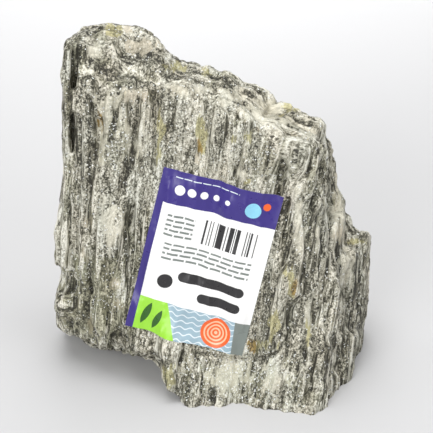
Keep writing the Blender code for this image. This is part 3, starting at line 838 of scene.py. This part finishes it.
@dataclass(frozen=True)
class SchistFinish:
    """Mica schist, split by hand: packed grains of dark mica, grey quartz and white feldspar.

    The grains are drawn out along the layers, so light and dark ones gather into streaks; mica flakes glint,
    smoother and tilted, under a painted near-white glint, and hollows get painted shade with dark mica in
    the furrows. Grain sizes are real, a little coarse so that they show in the picture. IOR is that of
    quartz.
    """

    stops: tuple[tuple[float, str], ...] = (
        (0.00, "#29271d"),
        (0.14, "#403e33"),
        (0.30, "#6b695d"),
        (0.50, "#a2a095"),
        (0.72, "#cfcdc4"),
        (1.00, "#f8f7f2"),
    )
    mean: float = 0.518
    bands: Pattern = Pattern((9.0, 80.0, 6.0), 0.36, 2.0, 0.1)
    streaks: Pattern = Pattern((2.6, 70.0, 3.4), 0.25, 3.0, 0.0, 0.24)
    blotches: Pattern = Pattern((4.5, 15.0, 3.5), 0.30, 2.0, 0.2)
    end_calm: float = 0.55
    layers: Pattern = Pattern((26.0, 70.0, 3.2), 0.25, 2.5, 0.0, 0.24)
    cut_layers: float = 0.20
    threads: Pattern = Pattern((0.85, 26.0, 1.1), 0.17, 2.0, 0.0, 0.26)
    edge_threads: float = 0.36
    end_lines: Pattern = Pattern((8.0, 16.0, 0.8), 0.28, 2.0, 0.2, 0.3)
    veins: Pattern = Pattern((5.0, 60.0, 4.0), -0.10, 3.0, 0.3)
    vein_width: float = 0.024
    cut_veins: float = -0.15
    grain_sizes: Triple = (0.52, 1.05, 0.60)
    grain_share: float = 0.56
    flake_sizes: Triple = (0.5, 0.5, 0.5)
    flake_share: float = 0.52
    cut_calm: float = 0.34
    edge_calm: float = 0.34
    # Painted shade: hollows are darkened, together with the dark mica that gathers in furrows.
    hollow_share: float = -0.24
    fray: float = 0.35
    tone_edge: Span = (0.255, 0.515)
    clouds: Pattern = Pattern((7.0, 34.0, 6.0))
    cloud_edge: float = 0.18
    warm: str = "#fbf7ec"
    cool: str = "#f4f5ee"
    # The near-white colour of the glinting flakes: a painted glint.
    painted_glint: str = "#f4f6f2"
    glint_limit: float = 0.98
    silver_glints: float = 0.08
    grain_roughness: float = 0.58
    glint_roughness: float = 0.22
    bump_strength: float = 0.8
    bump_height: float = 0.4
    ior: float = 1.55

    def build(self) -> bpy.types.Material:
        """Makes the material.

        Returns:
            The schist.
        """
        made, tree, shader = new_material("mica_schist")
        fabric = add_node(tree, "Attribute", attribute_name="fabric")["Vector"]
        flakes = self.cells(tree, fabric, self.flake_sizes)
        threads = self.threads.noise(tree, fabric)
        amounts = {tone: self.amount(tree, tone, threads) for tone in Tone}
        lightness = self.lightness(tree, fabric, flakes, threads)
        for tone, amount in amounts.items():
            cover = add_node(tree, "Math", (amount, tone.evenness), operation="MULTIPLY")[0]
            mixed = {"Factor": cover, 2: lightness, 3: tone.lightness}
            lightness = add_node(tree, "Mix", mixed, data_type="FLOAT")[0]
        mask, turned = self.glints(tree, flakes, amounts[Tone.SILVER])
        stained = self.stained(tree, self.ramp(tree, lightness), fabric, amounts)
        # The glinting flakes are painted near-white: a painted glint, on top of their smoother surfaces and
        # tilted normals.
        mixed = {"Factor": mask, 6: stained, 7: linear(self.painted_glint)}
        tree.links.new(add_node(tree, "Mix", mixed, data_type="RGBA")[2], shader.inputs["Base Color"])
        ends = {"Value": mask, "To Min": self.grain_roughness, "To Max": self.glint_roughness}
        tree.links.new(add_node(tree, "MapRange", ends)[0], shader.inputs["Roughness"])
        bumps = {
            "Strength": self.bump_strength,
            "Distance": self.bump_height * MM,
            "Height": lightness,
            "Normal": turned,
        }
        tree.links.new(add_node(tree, "Bump", bumps)[0], shader.inputs["Normal"])
        shader.inputs["IOR"].default_value = self.ior
        return made

    def lightness(self, tree: Tree, fabric: Any, flakes: Any, threads: Any) -> Any:
        """How light the stone is before its patches, from its layers down to its grains.

        Where the stone broke across its layers or grains, the patterns along them give way to the layers'
        own edges, and the grains stand out less. Hollows are darker: painted shade, with the dark mica in
        the furrows.

        Args:
            tree: The material's nodes.
            fabric: The place in the fabric.
            flakes: A random colour for each flake.
            threads: The fine threads' value.

        Returns:
            The lightness, about from 0 to 1.
        """
        end_on, edge_on, hollow_shade_and_mica = (
            add_node(tree, "Attribute", attribute_name=name)["Fac"]
            for name in ("end_on", "edge_on", "hollow_shade_and_mica")
        )
        cut = add_node(tree, "Math", (end_on, edge_on), operation="MAXIMUM")[0]
        broad = (self.bands, self.streaks, self.blotches)
        smooth = self.add_up(tree, 0.0, *((pattern.share, pattern.noise(tree, fabric)) for pattern in broad))
        layers = self.layers.noise(tree, fabric)
        end_lines = self.end_lines.noise(tree, fabric)
        level = self.veins.noise(tree, fabric)
        veins = add_node(tree, "Math", (level, 0.0, self.vein_width), operation="COMPARE")[0]
        grain = add_node(tree, "SeparateColor", (self.cells(tree, fabric, self.grain_sizes),))[0]
        flake = add_node(tree, "SeparateColor", (flakes,))[0]
        middle = 0.5 * (self.grain_share + self.flake_share)
        speckle = self.add_up(tree, -middle, (self.grain_share, grain), (self.flake_share, flake))
        return self.add_up(
            tree,
            self.mean,
            (1.0, smooth),
            (-self.end_calm, smooth, end_on),
            (self.end_lines.share, end_lines, end_on),
            (self.layers.share, layers),
            (self.cut_layers, layers, cut),
            (self.threads.share, threads),
            (self.edge_threads, threads, edge_on),
            (self.veins.share, veins),
            (self.cut_veins, veins, cut),
            (1.0, speckle),
            (-self.cut_calm, speckle, cut),
            (-self.edge_calm, speckle, edge_on),
            # Painted shade in the hollows, with the dark mica in the furrows.
            (self.hollow_share, hollow_shade_and_mica),
        )

    @staticmethod
    def add_up(tree: Tree, start: float, *terms: tuple[Any, ...]) -> Any:
        """Adds up terms.

        Args:
            tree: The material's nodes.
            start: What the terms are added to.
            terms: For each its share, its value and any values that it is multiplied by.

        Returns:
            The sum.
        """
        total = start
        for share, value, *factors in terms:
            for factor in factors:
                value = add_node(tree, "Math", (value, factor), operation="MULTIPLY")[0]
            total = add_node(tree, "Math", (value, share, total), operation="MULTIPLY_ADD")[0]
        return total

    @staticmethod
    def cells(tree: Tree, fabric: Any, sizes: Triple) -> Any:
        """Packed grains of the given sizes, each of one random colour."""
        place = add_node(tree, "VectorMath", (fabric, sizes), operation="DIVIDE")[0]
        return add_node(tree, "TexVoronoi", {"Vector": place, "Scale": 1.0})["Color"]

    def amount(self, tree: Tree, tone: Tone, threads: Any) -> Any:
        """How much of a tone there is, frayed along the threads of the stone.

        Args:
            tree: The material's nodes.
            tone: The tone.
            threads: The fine threads' value.

        Returns:
            The amount, from 0 to 1.
        """
        kept = add_node(tree, "Attribute", attribute_name=tone.attribute)["Fac"]
        total = add_node(tree, "Math", (threads, -self.fray, kept), operation="MULTIPLY_ADD")[0]
        ends = {"Value": total, "From Min": self.tone_edge[0], "From Max": self.tone_edge[1]}
        return add_node(tree, "MapRange", ends, interpolation_type="SMOOTHSTEP")[0]

    def ramp(self, tree: Tree, lightness: Any) -> Any:
        """Turns lightness into a grain's colour.

        Args:
            tree: The material's nodes.
            lightness: How light the grain is.

        Returns:
            The colour.
        """
        colour = add_node(tree, "ValToRGB", (lightness,))[0]
        stops = colour.node.color_ramp.elements
        for _ in self.stops[2:]:
            stops.new(0.5)
        for stop, (place, shade) in zip(stops, self.stops):
            stop.position = place
            stop.color = linear(shade)
        return colour

    def stained(self, tree: Tree, colour: Any, fabric: Any, amounts: dict[Tone, Any]) -> Any:
        """The colour under warm and cool clouds and under each tone's tint.

        Args:
            tree: The material's nodes.
            colour: The grains' colour.
            fabric: The place in the fabric.
            amounts: How much of each tone there is.

        Returns:
            The stained colour.
        """
        clouds = self.clouds.noise(tree, fabric)
        ends = {"Value": clouds, "From Min": -self.cloud_edge, "From Max": self.cloud_edge}
        clouds = add_node(tree, "MapRange", ends)[0]
        mixed = {"Factor": clouds, 6: linear(self.warm), 7: linear(self.cool)}
        tints = [(1.0, add_node(tree, "Mix", mixed, data_type="RGBA")[2])]
        tints += [(amount, linear(tone.tint)) for tone, amount in amounts.items()]
        for amount, tint in tints:
            mixed = {"Factor": amount, 6: colour, 7: tint}
            colour = add_node(tree, "Mix", mixed, data_type="RGBA", blend_type="MULTIPLY")[2]
        return colour

    def glints(self, tree: Tree, flakes: Any, silver: Any) -> tuple[Any, Any]:
        """The mica flakes that catch the light; the finish also paints them near-white as a painted glint.

        Args:
            tree: The material's nodes.
            flakes: A random colour for each flake.
            silver: How much silvery mica there is.

        Returns:
            A mask of those flakes, and the surface's normal, turned a random way on each of them.
        """
        drawn = add_node(tree, "SeparateColor", (flakes,))[1]
        terms = (silver, -self.silver_glints, self.glint_limit)
        limit = add_node(tree, "Math", terms, operation="MULTIPLY_ADD")[0]
        mask = add_node(tree, "Math", (drawn, limit), operation="GREATER_THAN")[0]
        turn = add_node(tree, "VectorMath", (flakes, (0.5, 0.5, 0.5)), operation="SUBTRACT")[0]
        turn = add_node(tree, "VectorMath", {0: turn, "Scale": mask}, operation="SCALE")[0]
        surface = add_node(tree, "NewGeometry")["Normal"]
        total = add_node(tree, "VectorMath", (surface, turn), operation="ADD")[0]
        return mask, add_node(tree, "VectorMath", (total,), operation="NORMALIZE")[0]


@dataclass
class Label:
    """The adhesive label: an A8 sheet turned clockwise and pressed onto the stone."""

    node: str = "label"
    name: str = "paper_label"
    slot: str = "label_paper"
    width: float = 52.0
    height: float = 74.0
    thickness: float = 0.14
    gap: float = 0.12
    turn: float = 12.0
    centre: Triple = (-4.377, -17.886, 60.0)
    cell: float = 0.5
    reach: float = 40.0
    pressings: int = 16
    evenings: int = 4
    last_evenings: int = 3
    evening: float = 0.5
    crease: float = 40.0

    def build(self, stone: bpy.types.Object, finish: LabelFinish) -> bpy.types.Object:
        """Makes the label.

        Args:
            stone: What it is pressed onto.
            finish: Its paper and print.

        Returns:
            The finished piece.
        """
        columns, rows = round(self.width / self.cell), round(self.height / self.cell)
        bpy.ops.object.select_all(action="DESELECT")
        bpy.ops.mesh.primitive_grid_add(x_subdivisions=columns, y_subdivisions=rows, size=1.0)
        piece = bpy.context.object
        piece.name = piece.data.name = self.name
        flat = read_vectors(piece.data, "co")
        across, along = flat[:, 0] * self.width, flat[:, 1] * self.height
        heights = self.pressed(stone, across, along, (rows + 1, columns + 1))
        axes = np.array((*self.axes(), FABRIC.normal))
        places = np.array(self.centre) + np.stack((across, along, heights), axis=1) @ axes
        piece.data.vertices.foreach_set("co", (places * MM).ravel())
        piece.data.update()
        piece.data.materials.append(finish.build())
        piece.data.materials.append(CUT_EDGE.build())
        apply_modifier(piece, "SOLIDIFY", thickness=self.thickness * MM, offset=1.0, material_offset_rim=1)
        select_only(piece)
        bpy.ops.object.shade_smooth_by_angle(angle=math.radians(self.crease))
        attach(piece, BODY)
        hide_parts(self.node)
        return piece

    def axes(self) -> tuple[Vector, Vector]:
        """How the label is turned.

        Returns:
            Its right and its up direction.
        """
        turn = math.radians(self.turn)
        up = FABRIC.up * math.cos(turn) + FABRIC.right * math.sin(turn)
        right = FABRIC.right * math.cos(turn) - FABRIC.up * math.sin(turn)
        return right, up

    def pressed(
        self, stone: bpy.types.Object, across: Array, along: Array, shape: tuple[int, int]
    ) -> Array:
        """The heights of a springy sheet that rests on the stone's high places and bridges its furrows.

        Args:
            stone: What lies under the sheet.
            across: Each vertex's place across the sheet.
            along: Each vertex's place up the sheet.
            shape: Rows and columns of vertices.

        Returns:
            A height over the label's plane for each vertex.
        """
        right, up = self.axes()
        tree = BVHTree.FromObject(stone, bpy.context.evaluated_depsgraph_get())
        ground = np.empty(len(across))
        for place, (x, y) in enumerate(zip(across, along)):
            start = Vector(self.centre) + right * x + up * y + FABRIC.normal * self.reach
            ground[place] = self.reach - tree.ray_cast(start * MM, -FABRIC.normal)[3] / MM
        ground = ground.reshape(shape)
        sheet = ground.copy()
        for _ in range(self.pressings):
            sheet = np.maximum(self.evened(sheet, self.evenings), ground)
        sheet = np.maximum(self.evened(sheet, self.last_evenings), ground)
        return (sheet + self.gap).ravel()

    def evened(self, sheet: Array, rounds: int) -> Array:
        """Evens each height out with its neighbours'.

        Args:
            sheet: The heights, in rows.
            rounds: How often they are evened.

        Returns:
            The evened heights.
        """
        for _ in range(rounds):
            wide = np.pad(sheet, 1, mode="edge")
            around = (wide[:-2, 1:-1] + wide[2:, 1:-1] + wide[1:-1, :-2] + wide[1:-1, 2:]) / 4
            sheet = sheet + self.evening * (around - sheet)
        return sheet


@dataclass
class Drawing:
    """Shapes for flat inks on a sheet, in millimetres: each is a mask, 1 where its ink lies and 0 off it."""

    tree: Tree
    place: Any
    x: Any = field(init=False)
    y: Any = field(init=False)
    ring_crest: float = 0.1
    ripple_crest: float = 0.8
    blade_spread: float = 0.86
    blade_radius: float = 1.06
    blade_rises: Span = (0.75, 0.25)
    dash_thickness: float = 0.42
    dash_share: float = 0.86

    def __post_init__(self) -> None:
        """Reads the measures across and up the sheet off the place."""
        self.x, self.y, _ = add_node(self.tree, "SeparateXYZ", (self.place,))

    def both(self, first: Any, second: Any) -> Any:
        """Where two masks are both set."""
        return add_node(self.tree, "Math", (first, second), operation="MULTIPLY")[0]

    def between(self, value: Any, low: float, high: float) -> Any:
        """Where a value lies between two others."""
        ends = (value, (low + high) / 2, (high - low) / 2)
        return add_node(self.tree, "Math", ends, operation="COMPARE")[0]

    def wave(self, value: Any, length: float, crest: float) -> Any:
        """Draws the crests of a wave.

        Args:
            value: What the wave runs along.
            length: From one crest to the next.
            crest: The level above which a crest is drawn, from -1 to 1.

        Returns:
            The mask.
        """
        turned = add_node(self.tree, "Math", (value, math.tau / length), operation="MULTIPLY")[0]
        wave = add_node(self.tree, "Math", (turned,), operation="SINE")[0]
        return add_node(self.tree, "Math", (wave, crest), operation="GREATER_THAN")[0]

    def box(self, left: float, low: float, right: float, high: float) -> Any:
        """An upright rectangle."""
        return self.both(self.between(self.x, left, right), self.between(self.y, low, high))

    def away(self, centre: Any) -> Any:
        """The distance from a point."""
        return add_node(self.tree, "VectorMath", (self.place, centre), operation="DISTANCE")["Value"]

    def disc(self, x: float, y: float, radius: float) -> Any:
        """A round spot."""
        return add_node(self.tree, "Math", (self.away((x, y, 0.0)), radius), operation="LESS_THAN")[0]

    def rings(self, x: float, y: float, radius: float, pitch: float) -> Any:
        """Even rings inside a radius."""
        crests = self.wave(self.away((x, y, 0.0)), pitch, self.ring_crest)
        return self.both(crests, self.disc(x, y, radius))

    def bar(self, left: float, right: float, level: float, half: float) -> Any:
        """Draws a level bar with round ends.

        Args:
            left: Where it starts.
            right: Where it ends.
            level: How far up its middle is.
            half: Half its thickness.

        Returns:
            The mask.
        """
        nearest = add_node(self.tree, "Clamp", (self.x, left + half, right - half))[0]
        centre = add_node(self.tree, "CombineXYZ", (nearest, level, 0.0))[0]
        return add_node(self.tree, "Math", (self.away(centre), half), operation="LESS_THAN")[0]

    def beyond(self, start: float, lean: float) -> Any:
        """What lies right of a leaning line."""
        line = add_node(self.tree, "Math", (self.y, -lean, start), operation="MULTIPLY_ADD")[0]
        return add_node(self.tree, "Math", (self.x, line), operation="GREATER_THAN")[0]

    def ripples(self, length: float, pitch: float, height: float) -> Any:
        """Draws wavy level lines.

        Args:
            length: From one wave to the next.
            pitch: From one line to the next.
            height: How far a wave rises.

        Returns:
            The mask.
        """
        turned = add_node(self.tree, "Math", (self.x, math.tau / length), operation="MULTIPLY")[0]
        bend = add_node(self.tree, "Math", (turned,), operation="SINE")[0]
        level = add_node(self.tree, "Math", (bend, height, self.y), operation="MULTIPLY_ADD")[0]
        return self.wave(level, pitch, self.ripple_crest)

    def blade(self, x: float, y: float, length: float) -> Any:
        """Draws a pointed leaf blade that leans right, where two large round spots overlap.

        Args:
            x: Its foot's place across.
            y: Its foot's place up.
            length: How tall it stands.

        Returns:
            The mask.
        """
        spread, radius = self.blade_spread * length, self.blade_radius * length
        left_rise, right_rise = self.blade_rises
        left = self.disc(x - spread, y + left_rise * length, radius)
        return self.both(left, self.disc(x + spread, y + right_rise * length, radius))

    def stripes(self, box: Box, width: float) -> Any:
        """Draws upright stripes of uneven widths.

        Args:
            box: The rectangle that holds them.
            width: The width of the thinnest.

        Returns:
            The mask.
        """
        columns = add_node(self.tree, "Math", (self.x, width), operation="DIVIDE")[0]
        column = add_node(self.tree, "Math", (columns,), operation="FLOOR")[0]
        drawn = add_node(self.tree, "TexWhiteNoise", {"W": column}, noise_dimensions="1D")[0]
        stripe = add_node(self.tree, "Math", (drawn, 0.5), operation="GREATER_THAN")[0]
        return self.both(stripe, self.box(*box))

    def dashes(self, box: Box, pitch: float, length: float) -> Any:
        """Draws rows of dashes.

        Args:
            box: The rectangle that holds them.
            pitch: From one row to the next.
            length: From the start of one dash to the next.

        Returns:
            The mask.
        """
        level = add_node(self.tree, "Math", (self.y, box[1]), operation="SUBTRACT")[0]
        rows = add_node(self.tree, "Math", (level, pitch), operation="DIVIDE")[0]
        row = add_node(self.tree, "Math", (rows,), operation="FLOOR")[0]
        shift = add_node(self.tree, "TexWhiteNoise", {"W": row}, noise_dimensions="1D")[0]
        run = add_node(self.tree, "Math", (self.x, 1.0 / length, shift), operation="MULTIPLY_ADD")[0]
        mask = self.box(*box)
        for value, share in ((rows, self.dash_thickness), (run, self.dash_share)):
            part = add_node(self.tree, "Math", (value,), operation="FRACT")[0]
            inked = add_node(self.tree, "Math", (part, share), operation="LESS_THAN")[0]
            mask = self.both(mask, inked)
        return mask


@dataclass(frozen=True)
class LabelFinish:
    """Gloss-printed label paper: flat inks under a thin varnish, laid out in bands and blocks.

    The design has dots, a stripe code, rows of dashes, thick bars, and a strip with leaf blades, waves and
    a ringed disc. Places are millimetres from the label's lower left corner. The varnish is a little worn,
    so that its gloss varies.
    """

    width: float = 52.0
    height: float = 74.0
    bleed: float = 1.0
    header: float = 59.3
    strip: float = 14.7
    margin: float = 3.2
    dot: Triple = (9.0, 66.0, 2.2)
    dots: int = 5
    dot_pitch: float = 5.2
    dot_loss: float = 0.28
    large_drop: Triple = (41.0, 65.4, 3.4)
    small_drop: Triple = (46.3, 68.0, 1.6)
    top_dashes: Box = (6.0, 71.0, 34.0, 72.0)
    stripe_box: Box = (22.0, 44.5, 46.0, 55.5)
    stripe_width: float = 0.4
    left_dashes: Box = (6.5, 45.0, 18.5, 56.0)
    middle_dashes: Box = (8.0, 34.4, 46.0, 41.8)
    top_pitch: float = 1.0
    field_pitch: float = 2.2
    top_dash: float = 4.0
    left_dash: float = 4.6
    middle_dash: float = 5.4
    bars: tuple[tuple[float, ...], ...] = ((17.0, 46.0, 28.0, 2.1), (27.0, 46.0, 20.6, 2.1))
    spot: Triple = (12.0, 24.3, 3.3)
    blades: tuple[Triple, ...] = ((7.5, 3.0, 9.5), (12.7, 2.0, 8.5))
    water_edge: Span = (22.0, 0.45)
    ripple: Triple = (4.833, 2.618, 0.5)
    grey_edge: Span = (47.0, 0.1)
    disc: Triple = (38.5, 7.2, 6.6)
    rings: tuple[float, float, float, float] = (38.5, 7.2, 6.0, 1.496)
    ink: str = "#3b2f80"
    white: str = "#f7f7f6"
    black: str = "#2b2a2c"
    lime: str = "#9bdc3e"
    leaf: str = "#2f5f1d"
    water: str = "#9db7c4"
    foam: str = "#dfe9ee"
    orange: str = "#f0672c"
    peach: str = "#f9c3a0"
    grey: str = "#7d8580"
    sky: str = "#8fd4ee"
    wear_scale: float = 0.35
    wear_detail: float = 3.0
    wear_edge: Span = (0.3, 0.7)
    gloss: Span = (0.24, 0.42)
    ior: float = 1.5

    def build(self) -> bpy.types.Material:
        """Makes the material.

        Returns:
            The printed paper.
        """
        made, tree, shader = new_material("printed_label_paper")
        size = (self.width, self.height, 1.0)
        place = add_node(tree, "VectorMath", (add_node(tree, "UVMap")[0], size), operation="MULTIPLY")[0]
        drawing = Drawing(tree, place)
        colour: Any = linear(self.white)
        for mask, ink in (*self.field(drawing), *self.pictures(drawing), *self.bands(drawing)):
            mixed = {"Factor": mask, 6: colour, 7: linear(ink)}
            colour = add_node(tree, "Mix", mixed, data_type="RGBA")[2]
        tree.links.new(colour, shader.inputs["Base Color"])
        spots = {"Vector": place, "Scale": self.wear_scale, "Detail": self.wear_detail}
        wear = add_node(tree, "TexNoise", spots)["Fac"]
        gloss = add_node(tree, "MapRange", (wear, *self.wear_edge, *self.gloss))[0]
        tree.links.new(gloss, shader.inputs["Roughness"])
        shader.inputs["IOR"].default_value = self.ior
        return made

    def bands(self, drawing: Drawing) -> list[tuple[Any, str]]:
        """The coloured band along the top with its dots, and the one down the left side.

        Args:
            drawing: What draws the masks.

        Returns:
            Masks and their inks.
        """
        right, high = self.width + self.bleed, self.height + self.bleed
        x, y, radius = self.dot
        dots = [
            (drawing.disc(x + self.dot_pitch * number, y, radius - self.dot_loss * number), self.white)
            for number in range(self.dots)
        ]
        return [
            (drawing.box(-self.bleed, self.header, right, high), self.ink),
            (drawing.box(-self.bleed, -self.bleed, self.margin, high), self.ink),
            *dots,
            (drawing.disc(*self.large_drop), self.sky),
            (drawing.disc(*self.small_drop), self.orange),
            (drawing.dashes(self.top_dashes, self.top_pitch, self.top_dash), self.foam),
        ]

    def field(self, drawing: Drawing) -> list[tuple[Any, str]]:
        """The white field: a stripe code, rows of dashes, two thick bars and a spot.

        Args:
            drawing: What draws the masks.

        Returns:
            Masks and their inks.
        """
        return [
            (drawing.stripes(self.stripe_box, self.stripe_width), self.black),
            (drawing.dashes(self.left_dashes, self.field_pitch, self.left_dash), self.grey),
            (drawing.dashes(self.middle_dashes, self.field_pitch, self.middle_dash), self.grey),
            *((drawing.bar(*bar), self.black) for bar in self.bars),
            (drawing.disc(*self.spot), self.black),
        ]

    def pictures(self, drawing: Drawing) -> list[tuple[Any, str]]:
        """The strip along the bottom: leaf blades on lime, waves on grey-blue, a ringed disc and grey.

        Args:
            drawing: What draws the masks.

        Returns:
            Masks and their inks.
        """
        strip = drawing.box(-self.bleed, -self.bleed, self.width + self.bleed, self.strip)
        water = drawing.both(strip, drawing.beyond(*self.water_edge))
        return [
            (strip, self.lime),
            *((drawing.blade(*blade), self.leaf) for blade in self.blades),
            (water, self.water),
            (drawing.both(water, drawing.ripples(*self.ripple)), self.foam),
            (drawing.both(strip, drawing.beyond(*self.grey_edge)), self.grey),
            (drawing.disc(*self.disc), self.orange),
            (drawing.rings(*self.rings), self.peach),
        ]


@dataclass(frozen=True)
class PaperFinish:
    """Plain uncoated paper: one even pale colour, matt."""

    name: str
    colour: str
    roughness: float

    def build(self) -> bpy.types.Material:
        """Makes the material.

        Returns:
            The plain paper.
        """
        made, _, shader = new_material(self.name)
        shader.inputs["Base Color"].default_value = linear(self.colour)
        shader.inputs["Roughness"].default_value = self.roughness
        return made


# The label's cut edge is bare paper. The floor is seamless background paper, without a pattern that shows.
CUT_EDGE = PaperFinish("label_paper_edge", "#efefec", 0.8)
BACKGROUND = PaperFinish("background_paper", "#cdcdce", 0.9)


@dataclass(frozen=True)
class Light:
    """A soft square light: its place and side in metres, its power in watts and what it points at."""

    name: str
    place: Triple
    side: float
    power: float
    target: Triple

    def build(self) -> None:
        """Hangs the light and turns it to its target."""
        bpy.ops.object.light_add(type="AREA", location=self.place)
        light = bpy.context.object
        light.name = self.name
        light.data.size = self.side
        light.data.energy = self.power
        light.rotation_mode = "QUATERNION"
        light.rotation_quaternion = (Vector(self.place) - Vector(self.target)).to_track_quat("Z", "Y")


@dataclass
class Studio:
    """The pale floor, the even white surround, the soft lights and the camera."""

    floor_side_m: float = 8.0
    surround: float = 0.38
    lights: tuple[Light, ...] = (
        Light("overhead", (-0.04, 0.05, 1.3), 1.0, 11.2, (0.0, 0.0, 0.07)),
        Light("front_left", (-0.58, -1.35, 0.75), 0.8, 13.0, (0.0, 0.0, 0.07)),
        Light("front_right", (0.34, -0.42, 0.40), 0.3, 0.75, (0.05, -0.12, 0.0)),
        Light("background", (0.0, 0.56, 0.22), 0.4, 1.15, (0.0, 0.40, 0.0)),
    )
    camera_distance_m: float = 1.2
    nearest_m: float = 0.01
    sensor: float = 36.0
    aim: Triple = (0.997, -10.186, 77.6)

    def build(self) -> None:
        """Sets the whole studio up."""
        self.add_floor()
        self.add_surround()
        for light in self.lights:
            light.build()
        self.add_camera()
        bpy.context.scene.view_settings.view_transform = "Standard"

    def add_floor(self) -> None:
        """A wide level floor."""
        bpy.ops.object.select_all(action="DESELECT")
        bpy.ops.mesh.primitive_plane_add(size=self.floor_side_m)
        floor = bpy.context.object
        floor.name = "floor"
        floor.data.materials.append(BACKGROUND.build())

    def add_surround(self) -> None:
        """An even white world."""
        world = bpy.data.worlds.new("studio")
        bpy.context.scene.world = world
        world.use_nodes = True
        background = world.node_tree.nodes["Background"]
        background.inputs["Color"].default_value = linear("#ffffff")
        background.inputs["Strength"].default_value = self.surround

    def add_camera(self) -> None:
        """A camera in front of the stone and above it, at the photograph's scale."""
        back = SIGHT.direction
        bpy.ops.object.camera_add(location=Vector(self.aim) * MM + back * self.camera_distance_m)
        camera = bpy.context.object
        camera.name = "camera"
        camera.rotation_mode = "QUATERNION"
        camera.rotation_quaternion = back.to_track_quat("Z", "Y")
        camera.data.sensor_width = self.sensor
        pixels_per_m = PIXELS_PER_MM / MM
        camera.data.lens = self.sensor * self.camera_distance_m * pixels_per_m / PICTURE_SIDE
        camera.data.clip_start = self.nearest_m
        bpy.context.scene.camera = camera


def main() -> None:
    """Builds the stone, the label and the studio."""
    logging.basicConfig(level=logging.INFO, format="%(message)s")
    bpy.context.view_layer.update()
    stone = Stone().build(SchistFinish())
    LOG.info("%s: %d faces", stone.name, len(stone.data.polygons))
    label = Label().build(stone, LabelFinish())
    LOG.info("%s: %d faces", label.name, len(label.data.polygons))
    Studio().build()


if __name__ == "__main__":
    main()
